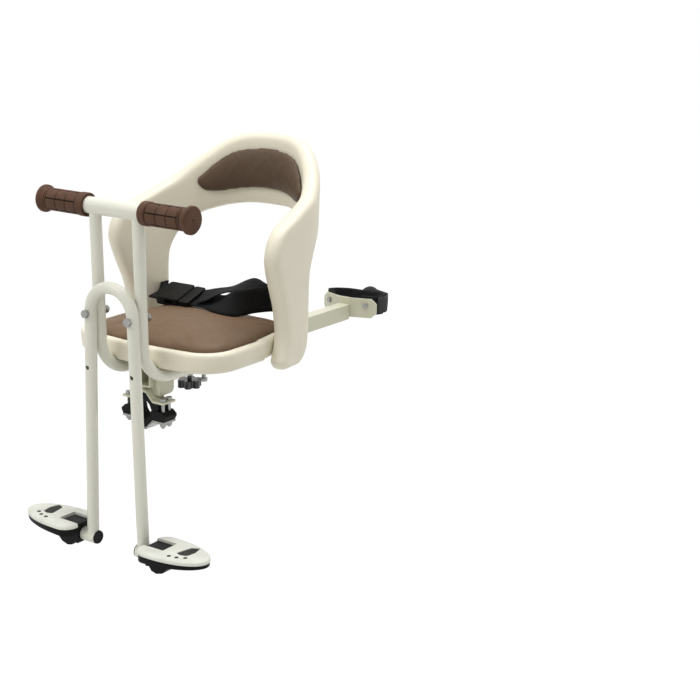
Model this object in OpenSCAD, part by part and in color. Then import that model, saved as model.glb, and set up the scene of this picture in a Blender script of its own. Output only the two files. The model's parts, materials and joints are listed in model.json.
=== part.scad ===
// Front-mounted child seat for a bicycle: a bucket seat on a bent tube frame with a
// handlebar, a footrest arch with folding pedals, a frame tube clamp and a rear strap.
// The child faces -Y, +X is the child's left and +Z is up. The origin is the centre of
// the clamp's bore, whose axis runs along Y.

/* [Handlebar] */
// Height of the handlebar centre above the clamp bore
bar_z = 275; // [250:1:300]
// How far the handlebar centre sits ahead of the clamp bore
bar_ahead = 56; // [48:1:64]
// Outer diameter of the handlebar
bar_d = 22.2; // [20:0.1:25.4]
// Overall width across both grips
bar_w = 252; // [230:1:290]
// Length of one grip
grip_l = 79; // [72:1:81]
// Diameter of the grip over its blocks
grip_d = 29.5; // [28:0.5:34]
// Diameter of the outer flange of a grip
grip_flange_d = 36; // [34:1:42]

/* [Frame] */
// Outer diameter of the frame tubes
tube_d = 16; // [14:0.5:18]
// Wall of the frame tubes
tube_wall = 1.5; // [1:0.1:2]
// Half the distance between the frame tubes
tube_x = 36.4; // [35:0.1:40]
// Height of the run of the tubes under the seat
run_z = 52.5; // [51:0.1:53.5]
// Centreline radius of the bend from upright to run
bend_r = 50; // [40:1:56]
// Where the run of the tubes ends behind the clamp bore
run_end = 194; // [180:1:205]

/* [Footrest] */
// Height of the bolts that hold the footrest arch
arch_bolt_z = 137.5; // [128:0.5:146]
// Outward splay of the footrest legs, in degrees
leg_splay = 1.64; // [1:0.02:2]
// Forward lean of the arch, in degrees
leg_lean = 0.76; // [0.4:0.02:1]
// Height of the stub tubes below the clamp bore
stub_drop = 175; // [165:1:185]
// Diameter of the stub tubes
stub_d = 19; // [17:0.5:20]
// Thread diameter of the footrest bolts
foot_bolt_d = 6; // [5:0.5:6]
// Distance between the height holes
hole_step = 73; // [66:1:80]

/* [Pedal] */
// Length of a pedal cover
pedal_l = 100; // [94:1:110]
// Width of a pedal cover
pedal_w = 66; // [62:1:72]
// Width of the slot that holds the hinge block
fork_w = 28; // [27:0.5:30]
// Distance from the seat's middle to the pedal pin
pin_x = 76; // [75:0.5:78]
// Diameter of the pedal pin
pin_d = 6; // [5:0.5:7]

/* [Seat] */
// Half width of the back wall, outside
shell_r = 140; // [136:1:146]
// Thickness of the shell wall
shell_t = 25; // [22:0.5:27]
// Outward splay of the arms, in degrees
arm_splay = 9; // [7:0.5:11]
// Top of the backrest
back_top = 343.5; // [338:0.5:352]
// Half width of the seat pan at its rim
pan_hw = 128; // [124:1:131]
// Height of the top of the pan rim
pan_top = 94; // [92:0.5:97]
// Height of the lower edge of the pan
pan_low = 66.5; // [66:0.5:68]
// Rise of the cushion above the pan rim
cushion_rise = 15; // [10:1:20]

/* [Clamp] */
// Radius of the frame tube that the clamp holds
clamp_r = 14.3; // [12.7:0.1:15.9]
// Length of the jaws along the frame tube
jaw_l = 25; // [22:1:30]
// Width of the jaws
jaw_w = 76; // [74:1:80]
// Distance of each clamp bolt from the middle
clamp_bolt_x = 30; // [29:0.5:31]
// Thread diameter of the clamp bolts
clamp_bolt_d = 5; // [4:0.5:5.5]

/* [Rear support] */
// Width of the outer beam under the seat
beam_w = 24; // [22:0.5:26]
// Height of the outer beam
beam_h = 29; // [27:0.5:30]
// Wall of both beams
beam_wall = 2; // [1.5:0.1:2]
// Reach of the rear plate behind the clamp bore
plate_y = 462; // [430:1:490]
// Width of the rear plate
plate_w = 100; // [90:1:110]
// Height of the rear plate
plate_h = 31; // [28:1:34]
// Distance of each rear bolt from the middle
rear_bolt_x = 34; // [32:0.5:36]
// Half width of the strap loop round the seat post
strap_r = 37; // [34:0.5:38]

/* [Hidden] */

$fn = 48;
// Clearance between pieces that only pass each other
gap = 0.3;
// Radial clearance of a pin or stud that turns in its hole
run_fit = 0.05;
// Overshoot of every cut past the face it opens
cut = 1;

// Colours, as the photograph shows them
cream = [0.90, 0.86, 0.78];
tube_cream = [0.86, 0.86, 0.80];
brown = [0.33, 0.23, 0.18];
leather = [0.45, 0.35, 0.28];
black = [0.08, 0.08, 0.09];
dark = [0.25, 0.25, 0.24];
zinc = [0.72, 0.73, 0.74];

// Backward lean of the uprights, an angle whose sine and cosine are short decimals, which
// keeps the joint of bend and run exact
tube_lean = 1.6705;

// Handlebar and frame tubes
bar_y = -bar_ahead;
bar_wall = 1.6;
grip_end = 4;
bar_half = bar_w / 2 - grip_end;
corner_y = bar_y + (bar_z - run_z) * tan(tube_lean);
bend_turn = 90 - tube_lean;
bend_back = bend_r * tan(bend_turn / 2);
bend_y = corner_y + bend_back;
bend_z = run_z + bend_r;
run_top = run_z + tube_d / 2;

// The footrest arch leans in a plane just ahead of the uprights
tube_y_at_bolt = bar_y + (bar_z - arch_bolt_z) * tan(tube_lean);
arch_y = tube_y_at_bolt - tube_d - gap;
arch_z = arch_bolt_z + 1.5;
arch_r = tube_x;
leg_drop = arch_z + stub_drop;
leg_l = leg_drop / cos(leg_splay);
stub_y = arch_y + leg_drop * sin(leg_lean);
stub_x = tube_x + leg_drop * tan(leg_splay);
stub_in = stub_x - tube_d / 2;
stub_out = pin_x - 11;
stub_wall = 1.5;
foot_nut = 10;

// A pedal is a cover over a base that folds up about a pin along Y
pin_z = 9.5 - stub_drop;
cover_top = pin_z + 10;
cover_t = 6;
base_t = 10;
base_taper = 3;
cover_low = cover_top - cover_t;
base_low = cover_low - base_t;
pedal_in = pin_x - 18;
hinge_y = stub_y - 2;
pedal_y = hinge_y - 2.5;
block_w = fork_w - 2.6;
block_r = 15.5;
fork_end = pin_x + 16.5;
pin_reach = fork_w / 2 + 8;

// Beams and plates under the seat
plate_t = 3;
beam_top = run_top;
beam_low = beam_top - beam_h;
beam_mid = beam_top - beam_h / 2;
beam_front = -11;
beam_rear = run_end;
slide_gap = 0.25;
inner_w = beam_w - 2 * beam_wall - 2 * slide_gap;
inner_h = beam_h - 2 * beam_wall - 2 * slide_gap;
inner_low = beam_mid - inner_h / 2;
inner_front = 34;
plate_top = run_top + plate_t;
cross_hw = tube_x + tube_d / 2 + 12;
cross_l = 26;
cross_y = [0, 150];
pan_screw_x = tube_x + tube_d / 2 + 5;
pan_screw_d = 4;
stud_d = 6;
weld_nut_h = 5;
knob_y = 83.5;
lock_y = 114;

// Bracket and clamp
web_y = -2;
bracket_hw = 22;
bracket_rear = 26;
omega_t = 3;
ear = 15;
crown = 27;
crown_hw = 5;
cheek_low = ear + 4.5;
plate_hw = jaw_w / 2 - 2;
split = 0.8;
parting = 1.2;
clamp_bolt_y = 6;

// Rear plate and strap
plate_low = beam_low + 6.5;
rear_bolt_z = plate_low + 20;
rear_bolt_d = 5;
v_back = 15;
flat_hw = 13;
v_angle = atan(v_back / (plate_w / 2 - flat_hw));
strap_t = 3.2;
strap_w = 30;

// Seat shell: its wall follows an arc behind and straight splayed arms in front; s is the
// distance along the middle of the wall from the centre of the back
path_r = shell_r - shell_t / 2;
shell_y = 143;
arc_end = path_r * (90 - arm_splay) * PI / 180;
recline = 2;
recline_from = 200;
pan_fit = 0.4;
shell_screw_d = 4;
shell_screw_z = pan_low + 9;

function lean_y(z) = z > recline_from ? (z - recline_from) * tan(recline) : 0;
function path_angle(s) = s < arc_end ? 90 - s / path_r * 180 / PI : arm_splay;
function path_xy(s, off) =
    let (a = path_angle(s), r = path_r + off, more = max(0, s - arc_end))
    [r * cos(a) + more * sin(arm_splay), shell_y + r * sin(a) - more * cos(arm_splay)];
function wall_pt(s, z, off, side) =
    let (p = path_xy(s, off)) [side * p[0], p[1] + lean_y(z), z];
// Distance s of a point on an arm that lies at y, and of one on the arc at an angle
function arm_s(y) = arc_end + (shell_y + path_r * sin(arm_splay) - y) / cos(arm_splay);
function arc_s(a) = path_r * (90 - a) * PI / 180;

// Smooth curve through a list of stations; past its end the list goes on as its mirror
// image, because the end is the centre of the back
function curve(pts, u) =
    let (n = len(pts) - 1, i = min(floor(u), n - 1), t = u - i,
        a = pts[max(i - 1, 0)], b = pts[i], c = pts[i + 1],
        d = i + 2 > n ? [-pts[n - 1][0], pts[n - 1][1]] : pts[i + 2])
    spline(a, b, c, d, t);
// The same for a free route, which just stops at its ends
function route(pts, u) =
    let (n = len(pts) - 1, i = min(floor(u), n - 1), t = u - i)
    spline(pts[max(i - 1, 0)], pts[i], pts[i + 1], pts[min(i + 2, n)], t);
function spline(a, b, c, d, t) =
    0.5 * (2 * b + (c - a) * t + (2 * a - 5 * b + 4 * c - d) * t * t
        + (3 * b - a - 3 * c + d) * t * t * t);

function arc_pts(c, r, a0, a1, n) =
    [for (i = [0:n]) let (a = a0 + (a1 - a0) * i / n) c + r * [cos(a), sin(a)]];

// Loop with each corner cut back by a length and rounded over
function soft_loop(pts, back, n = 4) = [for (i = [0:len(pts) - 1])
    let (p = pts[i], a = pts[(i + len(pts) - 1) % len(pts)], b = pts[(i + 1) % len(pts)],
        u = p + back * (a - p) / norm(a - p), v = p + back * (b - p) / norm(b - p))
    for (k = [0:n]) let (t = k / n) (1 - t) * (1 - t) * u + 2 * t * (1 - t) * p + t * t * v];

// Closed skin over rings that hold the same number of points
module skin(rings) {
    n = len(rings[0]);
    m = len(rings);
    polyhedron(points = [for (r = rings) each r], convexity = 8,
        faces = concat(
            [for (i = [0:m - 2], j = [0:n - 1])
                each [[i * n + j, (i + 1) * n + j, (i + 1) * n + (j + 1) % n],
                    [i * n + j, (i + 1) * n + (j + 1) % n, i * n + (j + 1) % n]]],
            [[for (j = [0:n - 1]) j]],
            [[for (j = [n - 1:-1:0]) (m - 1) * n + j]]));
}

// Draws children on the left as written, and mirrored on the right
module on_side(side) {
    if (side > 0) children();
    else mirror([1, 0, 0]) children();
}

module along_x(x0, x1, d, y = 0, z = 0) {
    translate([x0, y, z]) rotate([0, 90, 0]) cylinder(d = d, h = x1 - x0);
}

module along_y(y0, y1, d, x = 0, z = 0) {
    translate([x, y0, z]) rotate([-90, 0, 0]) cylinder(d = d, h = y1 - y0);
}

// Hexagon of a width across its flats
module hex(flats, h) {
    cylinder(d = flats / cos(30), h = h, $fn = 6);
}

module hex_y(flats, h) {
    rotate([-90, 0, 0]) hex(flats, h);
}

module handle_bar() {
    color(tube_cream) difference() {
        along_x(-bar_half, bar_half, bar_d, bar_y, bar_z);
        along_x(-bar_half - cut, bar_half + cut, bar_d - 2 * bar_wall, bar_y, bar_z);
    }
}

// Rubber grip: inner collar, three rows of blocks round it, a ring and an end flange
module grip(side) {
    inner = bar_w / 2 - grip_l;
    outer = bar_w / 2;
    collar_l = 12;
    flange_l = 8;
    ring_l = 7;
    groove = 1.6;
    deep = 1.1;
    rows = 3;
    r = grip_d / 2;
    fr = grip_flange_d / 2;
    start = inner + collar_l;
    end = outer - flange_l - ring_l;
    row_l = (end - start) / rows;
    cuts = concat([for (i = [0:rows]) start + i * row_l], [end + ring_l / 2]);
    color(brown) on_side(side) translate([0, bar_y, bar_z]) difference() {
        rotate([0, 90, 0]) rotate_extrude() polygon([[0, inner], [r, inner],
            [r + 0.8, inner + 1], [r + 0.8, start - 2], [r, start], [r, outer - flange_l],
            [fr - 1, outer - flange_l + 2], [fr, outer - flange_l + 3.5],
            [fr, outer - 1.5], [fr - 1.5, outer], [0, outer]]);
        along_x(inner - cut, bar_half, bar_d);
        for (x = cuts) translate([x - groove / 2, 0, 0]) rotate([0, 90, 0]) difference() {
            cylinder(r = r + 3, h = groove);
            translate([0, 0, -cut]) cylinder(r = r - deep, h = groove + 2 * cut);
        }
        for (k = [0:5]) rotate([k * 60 + 15, 0, 0])
            translate([start, -groove / 2, r - deep]) cube([rows * row_l, groove, 4]);
        translate([outer, 0, 0]) sphere(d = 3);
    }
}

module grip_left() { grip(1); }
module grip_right() { grip(-1); }

// Path of one frame tube as a solid of diameter d: upright, bend and run
module frame_path(side, d, over = 0) {
    upright_l = (bar_z - run_z) / cos(tube_lean) - bend_back;
    translate([side * tube_x, bend_y, bend_z]) rotate([90, 0, 90]) {
        rotate([0, 0, 180 + tube_lean]) {
            rotate_extrude(angle = bend_turn) translate([bend_r, 0]) circle(d = d);
            translate([bend_r, 0, 0]) rotate([90, 0, 0]) cylinder(d = d, h = upright_l);
        }
        rotate([0, 0, 270]) translate([bend_r, 0, 0]) rotate([-90, 0, 0])
            cylinder(d = d, h = run_end + over - bend_y);
    }
}

module frame_tube(side) {
    color(tube_cream) difference() {
        frame_path(side, tube_d);
        frame_path(side, tube_d - 2 * tube_wall, cut);
        along_x(-2 * tube_x, 2 * tube_x, bar_d, bar_y, bar_z);
        along_y(arch_y, 0, foot_bolt_d, side * tube_x, arch_bolt_z);
    }
}

module frame_tube_left() { frame_tube(1); }
module frame_tube_right() { frame_tube(-1); }

// Flat bar across both tubes and the beam, with a hole at each end for a pan screw
module cross_plate(y0) {
    color(tube_cream) difference() {
        translate([-cross_hw, y0, run_top]) cube([2 * cross_hw, cross_l, plate_t]);
        for (x = [-pan_screw_x, pan_screw_x])
            translate([x, y0 + cross_l / 2, run_top - cut])
                cylinder(d = pan_screw_d, h = plate_t + 2 * cut);
    }
}

module cross_plate_front() { cross_plate(cross_y[0]); }
module cross_plate_rear() { cross_plate(cross_y[1]); }

// Outer tube of the telescopic support
module outer_beam() {
    l = beam_rear - beam_front;
    color(tube_cream) difference() {
        translate([-beam_w / 2, beam_front, beam_low]) cube([beam_w, l, beam_h]);
        translate([-beam_w / 2 + beam_wall, beam_front - cut, beam_low + beam_wall])
            cube([beam_w - 2 * beam_wall, l + 2 * cut, beam_h - 2 * beam_wall]);
        for (y = [knob_y, lock_y]) translate([0, y, beam_low - cut])
            cylinder(d = stud_d + 2 * run_fit, h = beam_wall + 2 * cut);
    }
}

// Folded channel between beam and clamp: a front wall and two cheeks
module front_bracket() {
    corner = 8;
    slope = ear + crown_hw + (crown - ear) - cheek_low;
    color(tube_cream) {
        translate([0, web_y + plate_t, 0]) rotate([90, 0, 0]) linear_extrude(plate_t)
            polygon([[bracket_hw, cheek_low], [bracket_hw, run_top], [beam_w / 2, run_top],
                [beam_w / 2, beam_low], [-beam_w / 2, beam_low], [-beam_w / 2, run_top],
                [-bracket_hw, run_top], [-bracket_hw, cheek_low], [-slope, cheek_low],
                [-crown_hw, crown], [crown_hw, crown], [slope, cheek_low]]);
        for (x = [bracket_hw - plate_t, -bracket_hw]) translate([x, 0, 0])
            rotate([90, 0, 90]) linear_extrude(plate_t) polygon(concat(
                [[web_y, run_top], [web_y, cheek_low]],
                arc_pts([bracket_rear - corner, cheek_low + corner], corner, -90, 0, 8),
                [[bracket_rear, run_top]]));
    }
}

// Outer line of the pressed clamp plates, and the same line one plate thickness inside
function omega(inset) = [[plate_hw, ear - inset], [crown_hw + crown - ear, ear - inset],
    [crown_hw, crown - inset], [-crown_hw, crown - inset],
    [-crown_hw - crown + ear, ear - inset], [-plate_hw, ear - inset]];

module bolt_holes(d) {
    for (x = [-clamp_bolt_x, clamp_bolt_x], y = [-clamp_bolt_y, clamp_bolt_y])
        translate([x, y, -50]) cylinder(d = d, h = 100);
}

// Pressed plate; turn is 0 for the upper and 180 for the lower one
module clamp_plate(turn) {
    inner = omega(omega_t);
    rotate([0, turn, 0]) difference() {
        translate([0, jaw_l / 2, 0]) rotate([90, 0, 0]) linear_extrude(jaw_l)
            polygon(concat(omega(0), [for (i = [5:-1:0]) inner[i]]));
        bolt_holes(clamp_bolt_d);
    }
}

module clamp_upper_plate() { color(tube_cream) clamp_plate(0); }
module clamp_lower_plate() { color(zinc) clamp_plate(180); }

// Rubber jaw with a round groove for the bicycle's frame tube; end is the outline of its
// right end from the parting line up to the plate
module jaw(turn, end) {
    n = len(end) - 1;
    color(black) rotate([0, turn, 0]) difference() {
        translate([0, jaw_l / 2, 0]) rotate([90, 0, 0]) linear_extrude(jaw_l)
            polygon(concat(end, [for (i = [1:4]) omega(omega_t)[i]],
                [for (i = [n:-1:0]) [-end[i][0], end[i][1]]]));
        along_y(-jaw_l, jaw_l, 2 * clamp_r);
        bolt_holes(clamp_bolt_d);
    }
}

// The upper jaw stays between the bolts, the lower one reaches past them
module clamp_upper_jaw() {
    hw = clamp_bolt_x - clamp_bolt_d / 2 - 1;
    jaw(0, [[hw, parting + split], [hw, ear - omega_t]]);
}

module clamp_lower_jaw() {
    hw = jaw_w / 2;
    top = ear - omega_t;
    jaw(180, [[hw - 6, -parting], [hw, 4], [hw, top - 5], [hw - 3, top]]);
}

module clamp_bolts() {
    color(zinc) for (x = [-clamp_bolt_x, clamp_bolt_x], y = [-clamp_bolt_y, clamp_bolt_y])
        translate([x, y, 0]) {
            translate([0, 0, -ear - 7]) cylinder(d = clamp_bolt_d, h = 2 * ear + 7.5);
            translate([0, 0, ear]) hex(8, 4);
        }
}

module clamp_nuts() {
    color(zinc) for (x = [-clamp_bolt_x, clamp_bolt_x], y = [-clamp_bolt_y, clamp_bolt_y])
        translate([x, y, -ear - 4.5]) difference() {
            hex(8, 4.5);
            translate([0, 0, -cut]) cylinder(d = clamp_bolt_d, h = 8);
        }
}

// Arch as a solid of diameter d in its own leaning plane: half ring and two legs
module arch_path(d) {
    translate([0, arch_y, arch_z]) rotate([leg_lean, 0, 0]) rotate([90, 0, 0]) {
        rotate([0, 0, leg_splay]) {
            rotate_extrude(angle = 180 - 2 * leg_splay) translate([arch_r, 0]) circle(d = d);
            translate([arch_r, 0, 0]) rotate([90, 0, 0]) cylinder(d = d, h = leg_l);
        }
        rotate([0, 0, 180 - leg_splay]) translate([arch_r, 0, 0]) rotate([-90, 0, 0])
            cylinder(d = d, h = leg_l);
    }
}

module stub(d, over = 0) {
    along_x(stub_in - over, stub_out + over, d, stub_y, stub_z());
}

function stub_z() = -stub_drop;
// Distance of a leg's centre from the middle at a height
function leg_x(z) = tube_x + (arch_z - z) * tan(leg_splay);

module footrest_arch() {
    color(tube_cream) difference() {
        union() {
            arch_path(tube_d);
            for (side = [-1, 1]) on_side(side) stub(stub_d);
        }
        arch_path(tube_d - 2 * tube_wall);
        for (side = [-1, 1]) on_side(side) {
            stub(stub_d - 2 * stub_wall, cut);
            for (z = [arch_bolt_z, arch_bolt_z - hole_step])
                along_y(arch_y - tube_d, arch_y + tube_d, foot_bolt_d,
                    z == arch_bolt_z ? tube_x : leg_x(z), z);
        }
    }
}

module footrest_bolts() {
    head = 5;
    front = arch_y - tube_d / 2;
    color(zinc) for (x = [-tube_x, tube_x]) {
        along_y(front - 0.5, tube_y_at_bolt + tube_d / 2 + 8, foot_bolt_d, x, arch_bolt_z);
        translate([x, front - head, arch_bolt_z]) hex_y(foot_nut, head);
    }
}

module footrest_nuts() {
    rear = tube_y_at_bolt + tube_d / 2 + 0.2;
    color(zinc) for (x = [-tube_x, tube_x]) difference() {
        translate([x, rear, arch_bolt_z]) hex_y(foot_nut, 5);
        along_y(rear - cut, rear + 8, foot_bolt_d, x, arch_bolt_z);
    }
}

module stub_caps() {
    bore = stub_d - 2 * stub_wall;
    color(black) for (side = [-1, 1]) on_side(side) {
        along_x(stub_in - 2, stub_in, stub_d - 1, stub_y, stub_z());
        along_x(stub_in - 1, stub_in + 6, bore, stub_y, stub_z());
    }
}

// Height of the base's tapered underside over the pin, at a distance x outside the pin
function under(x) = base_low - pin_z + (x + pin_x - pedal_in) * tan(base_taper);

// Plastic block on the end of a stub, rounded about the pedal pin; the sloping shelf behind
// the round end carries the pedal when it is down
module hinge_block(side) {
    top = 7;
    end = 35;
    round_end = block_r - 1;
    color(black) on_side(side) difference() {
        translate([pin_x, hinge_y + block_w / 2, pin_z]) rotate([90, 0, 0])
            linear_extrude(block_w) {
                polygon(concat([[-15, top], [-15, -20], [-9, -19], [-4.5, -24.5], [4, -26.5],
                    [14, -23.5], [22, -16], [end, -9], [end, under(end) - gap / 3],
                    [round_end, under(round_end) - gap / 3]],
                    arc_pts([0, 0], block_r, 0, asin(top / block_r), 5)));
            }
        stub(stub_d);
        along_y(hinge_y - fork_w, hinge_y + fork_w, pin_d, pin_x, pin_z);
    }
}

module hinge_block_left() { hinge_block(1); }
module hinge_block_right() { hinge_block(-1); }

module hinge_pins() {
    color(zinc) for (side = [-1, 1]) on_side(side)
        along_y(hinge_y - pin_reach, hinge_y + pin_reach, pin_d, pin_x, pin_z);
}

// Plan of a pedal at an inset: half an ellipse outside its widest place and two round
// corners inside it
function pedal_loop(inset) =
    let (r = pedal_w / 2, c = 18, wide = 27, y = r - c)
    concat([for (i = [0:24]) let (a = -90 + 7.5 * i)
            [pedal_in + wide + (pedal_l - wide - inset) * cos(a), pedal_y + (r - inset) * sin(a)]],
        arc_pts([pedal_in + c, pedal_y + y], c - inset, 90, 180, 6),
        arc_pts([pedal_in + c, pedal_y - y], c - inset, 180, 270, 6));

module fork_slot(z0, h) {
    translate([pedal_in - 10, hinge_y - fork_w / 2, z0])
        cube([fork_end - pedal_in + 10, fork_w, h]);
}

// Black base, thinner towards its tip, that turns about the pin
module pedal_base(side) {
    color(black) on_side(side) difference() {
        translate([0, 0, base_low]) linear_extrude(base_t) polygon(pedal_loop(1));
        translate([pedal_in, 0, base_low]) rotate([0, -base_taper, 0])
            translate([-50, pedal_y - pedal_w, -20]) cube([2 * pedal_l, 2 * pedal_w, 20]);
        fork_slot(base_low - cut, base_t + 2 * cut);
        along_y(hinge_y - pin_reach - gap, pedal_y + pedal_w, pin_d + 2 * run_fit, pin_x, pin_z);
    }
}

module pedal_base_left() { pedal_base(1); }
module pedal_base_right() { pedal_base(-1); }

// Window for the grip pad and places of the three dots, measured from the pin
function pad_loop(back) = soft_loop([for (p = [[35, -9], [44, -12], [53, -8], [55, 6], [51, 21],
    [40, 16]]) [pin_x + p[0], hinge_y + p[1]]], back);
function dots() = [for (p = [[34, -22], [45, -20], [55, -14.5]]) [pin_x + p[0], hinge_y + p[1]]];

// Light cover with a rounded rim, open over the hinge block
module pedal_cover(side) {
    color(cream) on_side(side) difference() {
        skin([for (k = [[0.6, 0], [0, 0.8], [0, 3], [0.6, 4.6], [1.9, 5.6], [3.6, cover_t]])
            [for (p = pedal_loop(k[0])) [p[0], p[1], cover_low + k[1]]]]);
        fork_slot(cover_low - cut, cover_t + 2 * cut);
        translate([0, 0, cover_low - cut]) linear_extrude(cover_t + 2 * cut)
            polygon(pad_loop(3));
        for (p = dots()) translate([p[0], p[1], cover_top - 1.5]) cylinder(d = 4, h = 3);
    }
}

module pedal_cover_left() { pedal_cover(1); }
module pedal_cover_right() { pedal_cover(-1); }

module pedal_grip(side) {
    color(dark) on_side(side) translate([0, 0, cover_low])
        linear_extrude(cover_t - 1) polygon(pad_loop(3));
}

module pedal_grip_left() { pedal_grip(1); }
module pedal_grip_right() { pedal_grip(-1); }

// Half of the pan's plan at an inset, from the middle of the front round to the rear:
// bowed front, round corner, a side that steps in at the shell and a round rear corner
pan_front = -31;
pan_rear = 190;
pan_corner = 52;
rear_corner = 24;
rim_w = 15;

function pan_half(inset) =
    let (c = pan_corner, cx = pan_hw - c, bow = 6, ri = path_r - shell_t / 2 - pan_fit,
        dy = pan_rear - rear_corner - shell_y, dx = sqrt(pow(ri - rear_corner, 2) - dy * dy),
        turn = atan2(dy, dx), s0 = arm_s(96), s1 = arc_s(turn))
    concat([for (i = [0:5]) [i / 6 * cx, pan_front + inset + bow * pow(i / 6, 2)]],
        arc_pts([cx, pan_front + bow + c], c - inset, -86, 0, 10),
        [[pan_hw - inset, 88]],
        [for (i = [0:12]) path_xy(s0 + (s1 - s0) * i / 12, -shell_t / 2 - pan_fit - inset)],
        arc_pts([dx, pan_rear - rear_corner], rear_corner - inset, turn + 10, 90, 6));
function mirror_loop(h) = concat(h, [for (i = [len(h) - 1:-1:1]) [-h[i][0], h[i][1]]]);
function pan_ring(inset, z) = [for (p = mirror_loop(pan_half(inset))) [p[0], p[1], z]];

module pan_screw_places() {
    for (x = [-pan_screw_x, pan_screw_x], y = cross_y)
        translate([x, y + cross_l / 2, 0]) children();
}

// One side's shell screws: along X from the hollow of the pan into the foot of an arm
module shell_screw_places() {
    for (y = [118, 146]) {
        p = path_xy(arm_s(y), -shell_t / 2);
        translate([p[0], y, shell_screw_z]) rotate([0, 90, 0]) children();
    }
}

module seat_pan() {
    floor_z = pan_top - 7;
    hollow = 10;
    rib = 3;
    color(cream) difference() {
        union() {
            skin([pan_ring(7, pan_low), pan_ring(3, pan_low + 1.2), pan_ring(1, pan_low + 4.5),
                pan_ring(0.2, pan_low + 13), pan_ring(0, pan_top - 6), pan_ring(0.8, pan_top - 2.6),
                pan_ring(3, pan_top - 0.6), pan_ring(5.5, pan_top), pan_ring(rim_w - 4, pan_top - 0.4),
                pan_ring(rim_w - 1, pan_top - 2), pan_ring(rim_w, floor_z)]);
            pan_screw_places() translate([0, 0, plate_top])
                cylinder(d = 12, h = pan_low + 2 - plate_top);
        }
        difference() {
            translate([0, 0, pan_low - cut]) linear_extrude(floor_z - pan_low - 3 + cut)
                polygon(mirror_loop(pan_half(hollow)));
            for (x = [-75, -18, 18, 75])
                translate([x - rib / 2, pan_front, 0]) cube([rib, 300, 200]);
            for (y = [60, 105]) translate([-pan_hw, y - rib / 2, 0]) cube([2 * pan_hw, rib, 200]);
            pan_screw_places() cylinder(d = 12, h = 200);
        }
        for (side = [-1, 1]) frame_path(side, tube_d + 2 * gap);
        for (side = [-1, 1]) on_side(side) {
            shell_screw_places() translate([0, 0, -hollow - 2])
                cylinder(d = shell_screw_d + gap, h = hollow + 4);
        }
        pan_screw_places() translate([0, 0, plate_top - cut])
            cylinder(d = pan_screw_d, h = 13 + cut);
    }
}

// Crowned cushion in the pan's recess
module seat_cushion() {
    fit = rim_w + gap;
    base = pan_top - 7;
    mid = [0, 80];
    side = [[0, 0], [0, 6.5], [1, 9.5], [3.5, 12]];
    dome = [[0.93, 0.36], [0.84, 0.64], [0.7, 0.84], [0.5, 0.95], [0.25, 1]];
    color(leather) skin(concat(
        [for (k = side) pan_ring(fit + k[0], base + k[1])],
        [for (k = dome) [for (p = pan_ring(fit + 3.5, 0))
            [mid[0] + (p[0] - mid[0]) * k[0], mid[1] + (p[1] - mid[1]) * k[0],
                base + 12 + (cushion_rise - 5) * k[1]]]]));
}

module pan_screws() {
    color(zinc) pan_screw_places() {
        translate([0, 0, run_top - 1]) cylinder(d = pan_screw_d, h = 13);
        translate([0, 0, run_top - 2.5]) cylinder(d = 8, h = 2.5);
    }
}

// Front and top edge of the shell, from the foot of an arm to the centre of the back, and
// the rear and lower edge that faces it, each as distance s and height
front_edge = [[arm_s(103), 57], [arm_s(99), 63], [arm_s(103), 72], [arm_s(108), 86],
    [arm_s(109), 104], [arm_s(103), 135], [arm_s(95), 155], [arm_s(86), 177],
    [arm_s(78), 203], [arm_s(82), 223], [arm_s(92), 237], [arm_s(108), 247],
    [arm_s(136), 257], [arc_s(11), 270], [arc_s(20), 277.5], [arc_s(36), 301],
    [arc_s(47), back_top - 26.5], [arc_s(57), back_top - 12.5], [arc_s(68), back_top - 3.5],
    [arc_s(79), back_top - 0.5], [arc_s(90), back_top]];
rear_edge = [[arm_s(157), 55.5], [arm_s(167), 61], [arm_s(175), 73], [arm_s(178), 89],
    [arm_s(179), 105], [arm_s(179), 129], [arm_s(179), 147], [arm_s(180), 163],
    [arm_s(183), 178], [arc_s(23), 195], [arc_s(27), 205], [arc_s(31), 212],
    [arc_s(36), 219], [arc_s(42), 225.5], [arc_s(49), 230], [arc_s(58), 235],
    [arc_s(66), 238], [arc_s(73), 240], [arc_s(79), 240.5], [arc_s(85), 240.5],
    [arc_s(90), 240.5]];
shell_steps = 3;
// How far the end of a foot goes down past its first station, and how much it shrinks
foot_round = [[5, 15], [4, 8], [2, 2.5]];

// Rounded rectangle of a width across the shell and a thickness through it
function section(w, t) =
    let (r = min(t / 2 - 0.8, w / 2 - 0.8), hw = w / 2 - r, ht = t / 2 - r,
        half = concat(arc_pts([hw, -ht], r, -90, 0, 4), arc_pts([hw, ht], r, 0, 90, 4),
            [for (i = [1:3]) [hw - hw * i / 2, t / 2]]))
    concat(half, [for (p = half) -p]);

function shell_ring(u, side, down = 0, shrink = 0) =
    let (a = curve(front_edge, u), b = curve(rear_edge, u), m = (a + b) / 2,
        w = norm(a - b), d = (a - b) / w)
    [for (p = section(w - shrink, shell_t - shrink))
        let (q = m + d * p[0]) wall_pt(q[0], q[1] - down, p[1], side)];

module seat_shell() {
    last = len(front_edge) - 1;
    n = last * shell_steps;
    color(cream) skin(concat(
        [for (f = foot_round) shell_ring(0, 1, f[0], f[1])],
        [for (i = [0:n]) shell_ring(i / shell_steps, 1)],
        [for (i = [n - 1:-1:0]) shell_ring(i / shell_steps, -1)],
        [for (i = [2:-1:0]) shell_ring(0, -1, foot_round[i][0], foot_round[i][1])]));
}

// Padded panel on the inside of the back, from its outer end to the middle
pad_upper = [[55, 276], [51, 284], [41, 299], [28, 314], [16, 321], [0, 323]];
pad_lower = [[55, 268], [50, 258], [42, 254.5], [31, 258.5], [17, 262.5], [0, 264]];
pad_crown = 12;

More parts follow.
